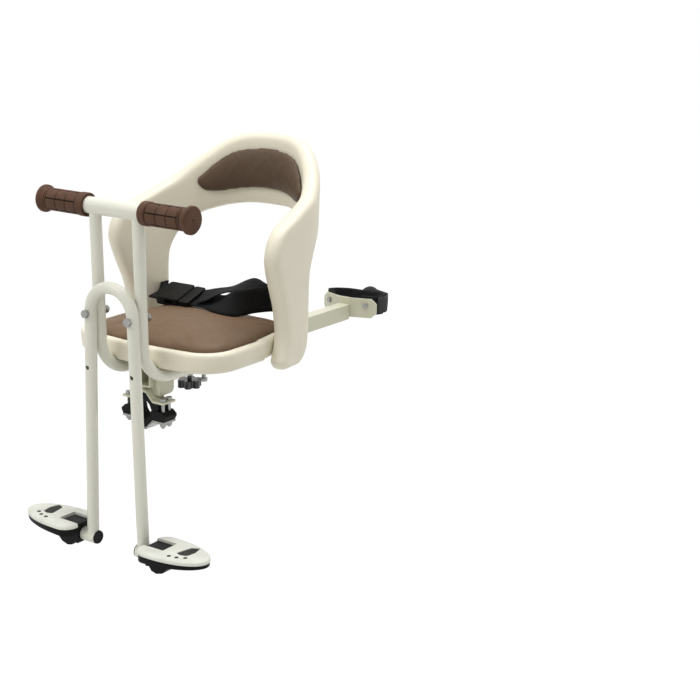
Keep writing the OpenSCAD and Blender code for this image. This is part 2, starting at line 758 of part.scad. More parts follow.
function pad_ring(u, side) =
    let (a = curve(pad_upper, u), b = curve(pad_lower, u), h = (a[1] - b[1]) / 2,
        z = (a[1] + b[1]) / 2, ang = (a[0] + b[0]) / 2, bulge = pad_crown * min(1, 0.3 + h / 40))
    [for (i = [0:17]) let (t = -i * 20, up = h * sign(cos(t)) * pow(abs(cos(t)), 0.8),
        out = bulge * pow(max(0, -sin(t)), 0.7))
        wall_pt(arc_s(90 - ang), z + up, -shell_t / 2 - gap - out, side)];

module back_pad() {
    n = 3 * (len(pad_upper) - 1);
    color(leather) skin(concat(
        [for (i = [0:n]) pad_ring(i / 3, 1)],
        [for (i = [n - 1:-1:0]) pad_ring(i / 3, -1)]));
}

module shell_screws() {
    color(zinc) for (side = [-1, 1]) on_side(side) shell_screw_places() {
        translate([0, 0, -13]) cylinder(d = shell_screw_d, h = 21.5);
        translate([0, 0, -13.8]) cylinder(d = 7, h = 2);
    }
}

// Inner tube of the telescopic support
module rear_beam() {
    l = plate_y - inner_front;
    color(tube_cream) difference() {
        translate([-inner_w / 2, inner_front, inner_low]) cube([inner_w, l, inner_h]);
        translate([-inner_w / 2 + beam_wall, inner_front - cut, inner_low + beam_wall])
            cube([inner_w - 2 * beam_wall, l + 2 * cut, inner_h - 2 * beam_wall]);
    }
}

// Line of the plate in plan, bent to a shallow V
function v_line(off) = [[-plate_w / 2, plate_y + v_back + off], [-flat_hw, plate_y + off],
    [flat_hw, plate_y + off], [plate_w / 2, plate_y + v_back + off]];

module rear_plate() {
    corner = 8;
    hw = plate_w / 2;
    top = plate_low + plate_h;
    color(tube_cream) difference() {
        translate([0, 0, plate_low]) linear_extrude(plate_h)
            polygon(concat(v_line(0), [for (i = [3:-1:0]) v_line(plate_t)[i]]));
        for (x = [-hw, hw], z = [plate_low, top]) translate([x, plate_y, z])
            rotate([0, 45, 0]) cube([corner * sqrt(2), 100, corner * sqrt(2)], center = true);
        for (side = [-1, 1]) on_side(side) rear_bolt_place() translate([0, 0, -20])
            cylinder(d = rear_bolt_d, h = 40);
    }
}

// Frame at a rear bolt: +Z leaves the front of the plate's wing at a right angle
module rear_bolt_place() {
    y = plate_y + (rear_bolt_x - flat_hw) * tan(v_angle);
    translate([rear_bolt_x, y, rear_bolt_z]) rotate([90, 0, v_angle]) children();
}

module rear_bolts() {
    color(zinc) for (side = [-1, 1]) on_side(side) rear_bolt_place() {
        translate([0, 0, -15]) cylinder(d = rear_bolt_d, h = 15.5);
        hex(8, 3.5);
    }
}

// Thickness of plate and strap under a nut, square to the wing
wing_t = plate_t * cos(v_angle);

module rear_nuts() {
    color(zinc) for (side = [-1, 1]) on_side(side) rear_bolt_place()
        translate([0, 0, -wing_t - strap_t - 4.3]) difference() {
            hex(8, 4);
            translate([0, 0, -cut]) cylinder(d = rear_bolt_d, h = 8);
        }
}

// Half of the strap's middle line in plan: a tab on the wing, a bend and half of the loop
function strap_line() =
    let (cy = plate_y + 38, u = [cos(v_angle), sin(v_angle)], n = [-sin(v_angle), cos(v_angle)],
        at = [flat_hw, plate_y] + n * (wing_t + strap_t / 2), far = strap_r + 8)
    concat([for (x = [26, 35]) at + u * (x - flat_hw) / u[0]],
        [at + u * (far - 3 - flat_hw) / u[0] + [0, 0.4], [far - 0.2, cy - 17], [far - 3, cy - 8]],
        arc_pts([0, cy], strap_r + strap_t / 2, 8, 90, 12));
function ribbon(line, t) =
    let (n = len(line) - 1, side = [for (i = [0:n])
        let (d = line[min(i + 1, n)] - line[max(i - 1, 0)]) t / 2 * [-d[1], d[0]] / norm(d)])
    concat([for (i = [0:n]) line[i] - side[i]], [for (i = [n:-1:0]) line[i] + side[i]]);

module rear_strap() {
    half = strap_line();
    n = len(half) - 1;
    loop = concat([for (i = [0:n]) half[i]],
        [for (i = [n - 1:-1:0]) [-half[i][0], half[i][1]]]);
    color(black) difference() {
        translate([0, 0, rear_bolt_z - strap_w / 2]) linear_extrude(strap_w)
            polygon(ribbon(loop, strap_t));
        for (side = [-1, 1]) on_side(side) rear_bolt_place() translate([0, 0, -20])
            cylinder(d = rear_bolt_d, h = 30);
    }
}

// Knob that locks the rear beam from below, with its stud
module star_knob() {
    lobes = 6;
    r = 12;
    h = 11;
    low = beam_low - 22;
    color(black) translate([0, knob_y, low]) {
        linear_extrude(h) {
            circle(r = r);
            for (i = [0:lobes - 1]) rotate(i * 360 / lobes) translate([r, 0]) circle(r = 5);
        }
        cylinder(d = stud_d, h = inner_low - gap - low);
    }
}

module weld_nuts() {
    color(zinc) for (y = [knob_y, lock_y]) translate([0, y, beam_low - weld_nut_h]) difference() {
        hex(10, weld_nut_h);
        translate([0, 0, -cut]) cylinder(d = stud_d + 2 * run_fit, h = weld_nut_h + 2 * cut);
    }
}

module beam_bolt() {
    low = beam_low - 21;
    color(zinc) translate([0, lock_y, low]) {
        hex(10, 4.5);
        cylinder(d = stud_d, h = inner_low - gap - low);
    }
}

// Lap belt: routes of the webbing as [x, y, z, roll, width], where roll tips the webbing's
// width from upright towards flat
belt_w = 36;
belt_t = 1.8;
buckle_l = 44;
buckle_w = 43;
buckle_h = 13;
buckle_roll = 70;
buckle_at = [-46, 134, 121];
slide_out = 22;

function web_ring(p, d) =
    let (t = [d[0], d[1], d[2]] / norm([d[0], d[1], d[2]]), n0 = [-t[1], t[0], 0],
        n = n0 / norm(n0), up = cross(t, n), w = up * cos(p[3]) + n * sin(p[3]),
        b = cross(w, t), c = [p[0], p[1], p[2]])
    [c - w * p[4] / 2 - b * belt_t / 2, c + w * p[4] / 2 - b * belt_t / 2,
        c + w * p[4] / 2 + b * belt_t / 2, c - w * p[4] / 2 + b * belt_t / 2];

module webbing(stations) {
    k = 3;
    n = (len(stations) - 1) * k;
    pts = [for (i = [0:n]) route(stations, i / k)];
    color(black) skin([for (i = [0:n]) web_ring(pts[i], pts[min(i + 1, n)] - pts[max(i - 1, 0)])]);
}

// Place of the arm's inner face at y, moved inward
function face_x(y, inward) = path_xy(arm_s(y), -shell_t / 2 - inward)[0];

belt_z = [121, 129];
belt_screw_y = [160, 152];
belt_screw_d = 4;
tab_w = 17;

// Station of the webbing near the buckle, a distance x to the left of its mouth
function at_buckle(x, roll) = concat([buckle_at[0] + x, buckle_at[1], buckle_at[2]], [roll, belt_w]);
// Station on the inner face of an arm, the webbing standing a little off it
function at_arm(side, y, off, roll, w) = [side * face_x(y, off), y, belt_z[(side + 1) / 2], roll, w];

// The adjustable side hangs in a slack loop
module belt_left() {
    z = belt_z[1];
    color(black) difference() {
        webbing([at_buckle(8, buckle_roll), at_buckle(28, buckle_roll),
            at_buckle(46, buckle_roll), [24, 124, 124, 50, belt_w], [46, 120, 127, 24, belt_w],
            [58, 131, z, 4, belt_w], [62, 150, z, 0, belt_w], [74, 172, z, 0, belt_w],
            [90, 182, z, 0, belt_w], [104, 177, z, 0, belt_w],
            at_arm(1, 162, 2.4, 0, belt_w), at_arm(1, 146, 1.6, 0, belt_w)]);
        belt_screw_place(1) cylinder(d = belt_screw_d + 2 * gap, h = 12, center = true);
    }
}

// Loose end that comes back out of the adjuster and lies behind the slack loop
module belt_tail() {
    w = belt_w;
    color(black) webbing([[-19.5, 134.6, 124.6, 71, w], [-13, 136.8, 126.9, 75, w],
        [-2, 142, 131.5, 82, w], [14, 149, 137, 88, w], [32, 154, 143, 76, w],
        [46, 157, 143, 50, w], [57, 160, 137, 16, w], [65.5, 165.5, 132, 3, w],
        [71.9, 173.9, 129.5, 0, w]]);
}

// The short side is sewn down to a tab on the arm
module belt_right() {
    color(black) difference() {
        webbing([at_buckle(-buckle_l + 7, -buckle_roll), at_buckle(-buckle_l - 2, -buckle_roll),
            at_buckle(-buckle_l - 7, -buckle_roll), [-104, 142, 121, -45, 27],
            at_arm(-1, 153, 3, -7, tab_w), at_arm(-1, 168, 1.8, -2, tab_w)]);
        belt_screw_place(-1) cylinder(d = belt_screw_d + 2 * gap, h = 12, center = true);
    }
}

module belt_screw_place(side) {
    i = (side + 1) / 2;
    y = belt_screw_y[i];
    on_side(side) translate([face_x(y, 3.4), y, belt_z[i]]) rotate([0, 90, 0]) children();
}

module belt_screws() {
    color(zinc) for (side = [-1, 1]) belt_screw_place(side) {
        translate([0, 0, -2]) cylinder(d = 9, h = 2);
        translate([0, 0, -1]) cylinder(d = belt_screw_d, h = 10);
    }
}

// Local frame of the buckle: X along it from the mouth, Y across, Z through
module buckle_frame() {
    translate(buckle_at) rotate([90 - buckle_roll, 0, 0]) children();
}

module plate_box(x0, x1, w, h) {
    translate([x0, -w / 2, -h / 2]) cube([x1 - x0, w, h]);
}

module buckle_socket() {
    color(black) buckle_frame() difference() {
        translate([0, 0, -buckle_h / 2]) linear_extrude(buckle_h) polygon(soft_loop(
            [[-buckle_l, -buckle_w / 2 + 1], [0, -buckle_w / 2], [0, buckle_w / 2],
            [-buckle_l, buckle_w / 2 - 1]], 5));
        plate_box(-27, cut, buckle_w - 11, 7);
        for (side = [-1, 1]) translate([-18, side * (buckle_w / 2 - 3), 0])
            cube([14, 8, 7], center = true);
        plate_box(-buckle_l - cut, -buckle_l + 9, belt_w + 2 * gap, belt_t + 2 * gap);
    }
}

// Tongue: guide blade and two prongs inside the socket, adjuster with a slot outside
module buckle_tongue() {
    prong = (buckle_w - 11) / 2 - 0.4;
    color(black) buckle_frame() difference() {
        union() {
            translate([0.4, 0, -buckle_h / 2 + 1.5]) linear_extrude(buckle_h - 3) polygon(soft_loop(
                [[0, -buckle_w / 2], [18, -buckle_w / 2], [18, buckle_w / 2], [0, buckle_w / 2]], 3));
            plate_box(-slide_out, 1, 8, 5);
            for (side = [-1, 1]) translate([0, side * (prong - 2.5), 0]) {
                plate_box(-slide_out, 1, 5, 5);
            }
        }
        plate_box(6, 30, belt_w + 2 * gap, belt_t + 2 * gap);
    }
}

handle_bar();
grip_left();
grip_right();
frame_tube_left();
frame_tube_right();
cross_plate_front();
cross_plate_rear();
outer_beam();
front_bracket();
clamp_upper_plate();
clamp_upper_jaw();
clamp_lower_jaw();
clamp_lower_plate();
clamp_bolts();
clamp_nuts();
footrest_arch();
footrest_bolts();
footrest_nuts();
stub_caps();
hinge_block_left();
hinge_block_right();
hinge_pins();
pedal_base_left();
pedal_base_right();
pedal_cover_left();
pedal_cover_right();
pedal_grip_left();
pedal_grip_right();
seat_pan();
seat_cushion();
pan_screws();
seat_shell();
back_pad();
shell_screws();
rear_beam();
rear_plate();
rear_strap();
rear_bolts();
rear_nuts();
star_knob();
weld_nuts();
beam_bolt();
belt_left();
belt_tail();
belt_right();
belt_screws();
buckle_socket();
buckle_tongue();
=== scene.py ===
import bpy
import bmesh
import json
import math
from mathutils import Vector, Matrix, noise
from mathutils.bvhtree import BVHTree


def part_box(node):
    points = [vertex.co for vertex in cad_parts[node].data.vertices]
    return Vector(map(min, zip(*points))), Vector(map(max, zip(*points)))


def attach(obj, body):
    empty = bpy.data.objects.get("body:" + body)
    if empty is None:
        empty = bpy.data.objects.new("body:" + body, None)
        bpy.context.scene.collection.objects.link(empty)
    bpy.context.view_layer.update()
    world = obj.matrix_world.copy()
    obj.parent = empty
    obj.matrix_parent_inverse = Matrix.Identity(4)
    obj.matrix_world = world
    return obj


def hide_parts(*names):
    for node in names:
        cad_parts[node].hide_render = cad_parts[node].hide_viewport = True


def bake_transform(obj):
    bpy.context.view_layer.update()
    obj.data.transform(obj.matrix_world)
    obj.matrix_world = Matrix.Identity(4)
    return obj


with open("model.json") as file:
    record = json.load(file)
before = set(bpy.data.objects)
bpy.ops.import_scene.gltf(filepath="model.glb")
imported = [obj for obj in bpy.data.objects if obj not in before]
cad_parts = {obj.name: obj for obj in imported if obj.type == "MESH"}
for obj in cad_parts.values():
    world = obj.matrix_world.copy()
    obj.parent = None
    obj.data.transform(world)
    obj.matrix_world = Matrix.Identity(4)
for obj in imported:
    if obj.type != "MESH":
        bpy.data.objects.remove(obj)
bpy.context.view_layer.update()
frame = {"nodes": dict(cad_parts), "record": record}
nodes = frame["nodes"]
scene = bpy.context.scene
MM = 0.001

# Camera, room and light. Places and sizes are in metres.

CAMERA_PLACE = (1.2300, -1.3610, 0.5804)
CAMERA_TURN_DEG = (74.7656, -1.3918, 34.1124)
SENSOR_WIDTH_MM = 36.0
LENS_MM = 73.12
SEEN_FROM, SEEN_TO = 0.05, 60.0

FLOOR_Z = -0.245
FLOOR_HALF_SIDE = 14.0
FLOOR_COLOUR = (0.72, 0.72, 0.70)
FLOOR_GLOW = 1.06
FLOOR_GLOW_SHARE = 0.93

ROOM_COLOUR = (1.0, 0.99, 0.96)
ROOM_STRENGTH = 0.46
WHITE = (1, 1, 1)

LAMP_AIM = (0, 0.1, 0.1)
# Name, place, width and height, power in watts and colour
LAMPS = (
    ("key_softbox", (-1.2, -2.2, 2.3), (1.6, 1.6), 37, (1.0, 0.99, 0.965)),
    ("top_softbox", (0.2, 0.6, 2.6), (2.0, 2.0), 60, (1.0, 0.995, 0.975)),
    ("side_fill", (2.6, -0.6, 1.0), (1.6, 1.6), 3, WHITE),
)


def make_camera():
    data = bpy.data.cameras.new("camera")
    data.sensor_width = SENSOR_WIDTH_MM
    data.lens = LENS_MM
    data.clip_start = SEEN_FROM
    data.clip_end = SEEN_TO
    camera = bpy.data.objects.new("camera", data)
    camera.location = CAMERA_PLACE
    camera.rotation_euler = [math.radians(angle) for angle in CAMERA_TURN_DEG]
    scene.collection.objects.link(camera)
    scene.camera = camera


def see_ray(tree):
    """1 where the camera, a mirror or glass looks straight at the surface."""
    path = tree.nodes.new("ShaderNodeLightPath")
    seen_or_mirrored = tree.nodes.new("ShaderNodeMath")
    seen_or_mirrored.operation = "MAXIMUM"
    any_look = tree.nodes.new("ShaderNodeMath")
    any_look.operation = "MAXIMUM"
    tree.links.new(path.outputs["Is Camera Ray"], seen_or_mirrored.inputs[0])
    tree.links.new(path.outputs["Is Glossy Ray"], seen_or_mirrored.inputs[1])
    tree.links.new(seen_or_mirrored.outputs[0], any_look.inputs[0])
    tree.links.new(path.outputs["Is Transmission Ray"], any_look.inputs[1])
    return any_look.outputs[0]


def make_world():
    """The room lights the seat softly, but looks plain white."""
    world = bpy.data.worlds.new("studio")
    scene.world = world
    world.use_nodes = True
    tree = world.node_tree
    tree.nodes.clear()
    out = tree.nodes.new("ShaderNodeOutputWorld")
    mix = tree.nodes.new("ShaderNodeMixShader")
    room = tree.nodes.new("ShaderNodeBackground")
    room.inputs["Color"].default_value = (*ROOM_COLOUR, 1)
    room.inputs["Strength"].default_value = ROOM_STRENGTH
    white = tree.nodes.new("ShaderNodeBackground")
    white.inputs["Color"].default_value = (*WHITE, 1)
    white.inputs["Strength"].default_value = 1.0
    tree.links.new(see_ray(tree), mix.inputs[0])
    tree.links.new(room.outputs[0], mix.inputs[1])
    tree.links.new(white.outputs[0], mix.inputs[2])
    tree.links.new(mix.outputs[0], out.inputs["Surface"])


def floor_white():
    """Nearly all glow where it is looked at, and plain diffuse for the light it sends back."""
    mat = bpy.data.materials.new("floor_white")
    mat.use_nodes = True
    tree = mat.node_tree
    tree.nodes.clear()
    out = tree.nodes.new("ShaderNodeOutputMaterial")
    mix = tree.nodes.new("ShaderNodeMixShader")
    plain = tree.nodes.new("ShaderNodeBsdfDiffuse")
    plain.inputs["Color"].default_value = (*FLOOR_COLOUR, 1)
    glow = tree.nodes.new("ShaderNodeEmission")
    glow.inputs["Color"].default_value = (*WHITE, 1)
    glow.inputs["Strength"].default_value = FLOOR_GLOW
    share = tree.nodes.new("ShaderNodeMath")
    share.operation = "MULTIPLY"
    share.inputs[1].default_value = FLOOR_GLOW_SHARE
    tree.links.new(see_ray(tree), share.inputs[0])
    tree.links.new(share.outputs[0], mix.inputs[0])
    tree.links.new(plain.outputs[0], mix.inputs[1])
    tree.links.new(glow.outputs[0], mix.inputs[2])
    tree.links.new(mix.outputs[0], out.inputs["Surface"])
    return mat


def make_floor():
    bm = bmesh.new()
    bmesh.ops.create_grid(bm, x_segments=1, y_segments=1, size=FLOOR_HALF_SIDE)
    bmesh.ops.translate(bm, verts=bm.verts, vec=(0, 0, FLOOR_Z))
    mesh = bpy.data.meshes.new("floor")
    bm.to_mesh(mesh)
    bm.free()
    floor = bpy.data.objects.new("floor", mesh)
    scene.collection.objects.link(floor)
    mesh.materials.append(floor_white())


def add_lamp(name, place, size, power, colour):
    data = bpy.data.lights.new(name, "AREA")
    data.shape = "RECTANGLE"
    data.size, data.size_y = size
    data.energy = power
    data.color = colour
    lamp = bpy.data.objects.new(name, data)
    lamp.location = place
    lamp.rotation_euler = (Vector(LAMP_AIM) - Vector(place)).to_track_quat("-Z", "Y").to_euler()
    scene.collection.objects.link(lamp)


make_camera()
scene.view_settings.view_transform = "Standard"
make_world()
make_floor()
for lamp_values in LAMPS:
    add_lamp(*lamp_values)


# Finishes. Scales are in waves per metre and depths in metres.

WEAVE_PITCH = (("X", 0.0024), ("Y", 0.0016))


class Finish:
    """A procedural finish: colour that drifts a little, a roughness that varies, and relief."""

    def __init__(self, name, colour, rough, metal=0.0):
        self.mat = bpy.data.materials.new(name)
        self.mat.use_nodes = True
        self.tree = self.mat.node_tree
        self.shader = self.tree.nodes["Principled BSDF"]
        self.shader.inputs["Metallic"].default_value = metal
        self.shader.inputs["Base Color"].default_value = (*colour, 1)
        self.shader.inputs["Roughness"].default_value = rough
        self.colour = colour
        self.normal = None
        self.coord = self.tree.nodes.new("ShaderNodeTexCoord")

    def node(self, kind, **values):
        made = self.tree.nodes.new(kind)
        for key, value in values.items():
            setattr(made, key, value)
        return made

    def link(self, a, b):
        self.tree.links.new(a, b)

    def noise(self, scale, detail):
        made = self.node("ShaderNodeTexNoise")
        made.inputs["Scale"].default_value = scale
        made.inputs["Detail"].default_value = detail
        self.link(self.coord.outputs["Object"], made.inputs["Vector"])
        return made.outputs["Fac"]

    def pebbles(self, scale, feature="F1"):
        made = self.node("ShaderNodeTexVoronoi", feature=feature)
        made.inputs["Scale"].default_value = scale
        self.link(self.coord.outputs["Object"], made.inputs["Vector"])
        return made.outputs["Distance"]

    def drift(self, fac, spread, tint=(1, 1, 1), low=0.35, high=0.65):
        """Lets the colour wander between a darker and a lighter shade."""
        ramp = self.node("ShaderNodeValToRGB")
        ramp.color_ramp.elements[0].position = low
        ramp.color_ramp.elements[1].position = high
        dark = [c * (1 - spread) for c in self.colour]
        pale = [min(1, c * (1 + spread) * t) for c, t in zip(self.colour, tint)]
        ramp.color_ramp.elements[0].color = (*dark, 1)
        ramp.color_ramp.elements[1].color = (*pale, 1)
        self.link(fac, ramp.inputs["Fac"])
        self.link(ramp.outputs["Color"], self.shader.inputs["Base Color"])

    def wear(self, fac, low, high):
        """Lets the roughness run between two values."""
        span = self.node("ShaderNodeMapRange")
        span.inputs["From Min"].default_value = 0.3
        span.inputs["From Max"].default_value = 0.7
        span.inputs["To Min"].default_value = low
        span.inputs["To Max"].default_value = high
        self.link(fac, span.inputs["Value"])
        self.link(span.outputs["Result"], self.shader.inputs["Roughness"])

    def relief(self, fac, depth, strength):
        """Raises the surface by up to depth metres; each call lies on the one before."""
        bump = self.node("ShaderNodeBump")
        bump.inputs["Strength"].default_value = strength
        bump.inputs["Distance"].default_value = depth
        self.link(fac, bump.inputs["Height"])
        if self.normal is not None:
            self.link(self.normal, bump.inputs["Normal"])
        self.normal = bump.outputs["Normal"]
        self.link(self.normal, self.shader.inputs["Normal"])

    def set(self, **values):
        for key, value in values.items():
            self.shader.inputs[key.replace("_", " ")].default_value = value


def sprayed_paint(name, colour):
    f = Finish(name, colour, rough=0.34)
    f.drift(f.noise(scale=9, detail=4), spread=0.025)
    f.wear(f.noise(scale=60, detail=4), low=0.28, high=0.42)
    f.relief(f.noise(scale=420, detail=2), depth=0.00012, strength=0.5)
    f.set(Coat_Weight=0.25, Coat_Roughness=0.2)
    return f.mat


def moulded_shell(name, colour):
    f = Finish(name, colour, rough=0.42)
    f.drift(f.noise(scale=5, detail=4), spread=0.02, tint=(1.0, 1.0, 0.99))
    f.wear(f.noise(scale=35, detail=5), low=0.36, high=0.5)
    f.relief(f.noise(scale=30, detail=3), depth=0.0005, strength=0.25)
    f.relief(f.noise(scale=900, detail=2), depth=0.00008, strength=0.5)
    f.set(Specular_IOR_Level=0.45)
    return f.mat


def leather_cloth(name, colour):
    f = Finish(name, colour, rough=0.55)
    f.drift(f.noise(scale=9, detail=2), spread=0.06, tint=(1.02, 1.0, 0.98))
    f.wear(f.noise(scale=120, detail=4), low=0.48, high=0.64)
    f.relief(f.noise(scale=60, detail=3), depth=0.0003, strength=0.12)
    f.relief(f.pebbles(scale=620, feature="SMOOTH_F1"), depth=0.0002, strength=0.3)
    f.set(Specular_IOR_Level=0.3)
    return f.mat


def soft_rubber(name, colour, rough, grain=700, depth=0.0002):
    f = Finish(name, colour, rough)
    f.drift(f.noise(scale=40, detail=5), spread=0.14)
    f.wear(f.noise(scale=90, detail=4), low=rough - 0.1, high=rough + 0.08)
    f.relief(f.noise(scale=grain, detail=3), depth, strength=0.6)
    f.set(Specular_IOR_Level=0.15)
    return f.mat


def textured_plastic(name, colour, rough, grain=1100, depth=0.00015, gleam=0.3):
    f = Finish(name, colour, rough)
    f.drift(f.noise(scale=25, detail=4), spread=0.08)
    f.wear(f.noise(scale=70, detail=4), low=rough - 0.08, high=rough + 0.08)
    f.relief(f.pebbles(scale=grain), depth, strength=0.5)
    f.set(Specular_IOR_Level=gleam)
    return f.mat


def plated_steel(name, colour):
    f = Finish(name, colour, rough=0.28, metal=1.0)
    f.drift(f.noise(scale=160, detail=5), spread=0.1)
    f.wear(f.noise(scale=300, detail=6), low=0.18, high=0.42)
    f.relief(f.noise(scale=1500, detail=2), depth=0.00005, strength=0.5)
    return f.mat


def woven_strap(name, colour):
    """Ribs of a woven strap from the piece's own UV map, which is laid out in metres."""
    f = Finish(name, colour, rough=0.72)
    uv = f.node("ShaderNodeUVMap", uv_map="strap")
    parts = f.node("ShaderNodeSeparateXYZ")
    f.link(uv.outputs["UV"], parts.inputs["Vector"])
    weave = f.node("ShaderNodeMath", operation="MULTIPLY")
    for place, (axis, pitch) in enumerate(WEAVE_PITCH):
        turn = f.node("ShaderNodeMath", operation="MULTIPLY")
        turn.inputs[1].default_value = 2 * math.pi / pitch
        f.link(parts.outputs[axis], turn.inputs[0])
        wave = f.node("ShaderNodeMath", operation="SINE")
        f.link(turn.outputs[0], wave.inputs[0])
        f.link(wave.outputs[0], weave.inputs[place])
    span = f.node("ShaderNodeMapRange")
    span.inputs["From Min"].default_value = -1
    f.link(weave.outputs[0], span.inputs["Value"])
    f.drift(span.outputs["Result"], spread=0.45, low=0.0, high=1.0)
    f.relief(span.outputs["Result"], depth=0.0004, strength=0.8)
    f.set(Specular_IOR_Level=0.15)
    return f.mat


PAINT = sprayed_paint("tube_paint", (0.74, 0.74, 0.655))
BEAM_PAINT = sprayed_paint("beam_paint", (0.60, 0.595, 0.46))
SHELL = moulded_shell("shell_plastic", (0.78, 0.735, 0.61))
LEATHER = leather_cloth("seat_leathercloth", (0.152, 0.096, 0.056))
# The back pad gets a darker copy of the seat's leathercloth: painted shade on the pad that faces
# forward and down.
LEATHER_IN_PAINTED_SHADE = leather_cloth("back_pad_leathercloth_painted_shade", (0.085, 0.053, 0.031))
# Darker rubber for the floors of the grips' grooves: painted shade in the recesses.
GRIP_GROOVE_PAINTED_SHADE = soft_rubber("grip_groove_painted_shade", (0.018, 0.009, 0.006), rough=0.8)
GRIP = soft_rubber("grip_rubber", (0.098, 0.050, 0.031), rough=0.6)
JAW = soft_rubber("jaw_rubber", (0.005, 0.005, 0.0055), rough=0.6)
INSERT = soft_rubber("pedal_pad_rubber", (0.040, 0.041, 0.038), rough=0.75, grain=900, depth=0.0003)
BLACK = textured_plastic("black_plastic", (0.004, 0.004, 0.004), rough=0.48, gleam=0.12)
LIGHT = textured_plastic("pedal_cover_plastic", (0.76, 0.77, 0.71), rough=0.45)
ZINC = plated_steel("zinc_plate", (0.34, 0.34, 0.33))
WEBBING = woven_strap("black_webbing", (0.007, 0.007, 0.0075))
# A paler grey webbing for the strap's outer end: partly the grey sleeve's own colour, partly a
# painted sheen.
STRAP_END_GREY_AND_SHEEN = woven_strap("strap_end_grey_and_painted_sheen", (0.05, 0.05, 0.053))
KNOB = textured_plastic("knob_gloss_plastic", (0.006, 0.006, 0.006), rough=0.2, grain=500,
                        depth=0.0001, gleam=0.7)

# The webbing's solids are all replaced by straps with a UV map of their own, so they are
# plain rubber here.
SLOT_FINISH = {"frame_paint": PAINT, "beam_paint": BEAM_PAINT, "shell_plastic": SHELL,
               "leatherette": LEATHER, "grip_rubber": GRIP, "black_rubber": JAW,
               "pedal_rubber": INSERT, "black_plastic": BLACK, "light_plastic": LIGHT,
               "zinc": ZINC, "webbing": JAW}


# Helpers for pieces

WELD_GAP = 0.00002
CREASE_DEG = 32
FLAT_WITHIN_DEG = 0.6
ROUND_OVER_DEG = 35

body_of_node = {node: body for body, members in frame["record"]["behaviour"]["bodies"].items()
                for node in members}
slot_of_node = {part["node"]: part["material_slot"] for part in frame["record"]["subparts"]}


def paint_node(name):
    mesh = nodes[name].data
    mesh.materials.clear()
    mesh.materials.append(SLOT_FINISH[slot_of_node[name]])


def merged_copy(name):
    """The node's solid as one joined skin."""
    bm = bmesh.new()
    bm.from_mesh(nodes[name].data)
    bmesh.ops.remove_doubles(bm, verts=bm.verts, dist=WELD_GAP)
    return bm


def finish_piece(bm, name, body, finish, crease_deg=CREASE_DEG):
    """Turns bm into a smooth shaded piece that rides on a body. crease_deg is the angle from
    which an edge looks sharp, or None."""
    mesh = bpy.data.meshes.new(name)
    bm.to_mesh(mesh)
    bm.free()
    piece = bpy.data.objects.new(name, mesh)
    scene.collection.objects.link(piece)
    mesh.polygons.foreach_set("use_smooth", [True] * len(mesh.polygons))
    if crease_deg is not None:
        mesh.set_sharp_from_angle(angle=math.radians(crease_deg))
    mesh.materials.append(finish)
    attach(piece, body)
    return piece


def apply_stack(piece):
    """Bakes the piece's modifiers into its mesh."""
    depsgraph = bpy.context.evaluated_depsgraph_get()
    made = bpy.data.meshes.new_from_object(piece.evaluated_get(depsgraph))
    old = piece.data
    piece.modifiers.clear()
    piece.data = made
    made.name = old.name
    bpy.data.meshes.remove(old)


def soften_edges(bm, width):
    """Flat faces are joined up and their outer edges get a small round."""
    bmesh.ops.dissolve_limit(bm, angle_limit=math.radians(FLAT_WITHIN_DEG), verts=bm.verts,
                             edges=bm.edges, use_dissolve_boundaries=False)
    sharp = [e for e in bm.edges
             if e.is_manifold and e.calc_face_angle(0) > math.radians(ROUND_OVER_DEG)]
    bmesh.ops.bevel(bm, geom=sharp, offset=width, offset_type="OFFSET", segments=2, profile=0.5,
                    affect="EDGES", clamp_overlap=True, material=-1)


def dress(name, edge_mm=None, crease_deg=CREASE_DEG, finish=None):
    """The CAD node again as a joined skin, shaded smooth, its edges lightly rounded."""
    bm = merged_copy(name)
    if edge_mm:
        soften_edges(bm, edge_mm * MM)
    slot = slot_of_node[name]
    piece = finish_piece(bm, name + "_skin", body_of_node[name], finish or SLOT_FINISH[slot],
                         crease_deg)
    flats = piece.modifiers.new("flats_stay_flat", "WEIGHTED_NORMAL")
    flats.keep_sharp = True
    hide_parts(name)
    return piece


for node_name in nodes:
    paint_node(node_name)


# Tubes, plates, fasteners, grips and pedals

TUBE_CREASE_DEG = 40
COVER_CREASE_DEG = 38
EDGE_ROUND_MM = {
    "cross_plate_front": 0.4, "cross_plate_rear": 0.4, "outer_beam": 1.2, "rear_beam": 1.2,
    "front_bracket": 0.6, "clamp_upper_plate": 0.5, "clamp_lower_plate": 0.5, "rear_plate": 0.9,
    "clamp_upper_jaw": 0.8, "clamp_lower_jaw": 0.8, "pedal_base_left": 0.8,
    "pedal_base_right": 0.8, "hinge_block_left": 0.6, "hinge_block_right": 0.6,
    "buckle_socket": 1.0, "buckle_tongue": 0.6, "stub_caps": 0.5, "clamp_bolts": 0.4,
    "clamp_nuts": 0.4, "footrest_bolts": 0.5, "footrest_nuts": 0.4, "rear_bolts": 0.4,
    "rear_nuts": 0.4, "pedal_grip_left": 0.5, "pedal_grip_right": 0.5}
KNOB_EDGE_MM = 0.8

# Rubber nearer the bar's axis than this, and within this of the grip's middle, is a groove's
# floor, unless it is the end face of a collar.
GROOVE_RADIUS = 14.3 * MM
GROOVED_REACH = 37 * MM
END_FACING = 0.9

# Places of the studs on the left sole, and a stud's measures
STUDS = ((110, -88.1), (121, -86.1), (131, -80.6))
STUD_FOOT_R, STUD_TOP_R, STUD_TALL, STUD_LIFT = 2.9, 2.5, 0.5, 0.1


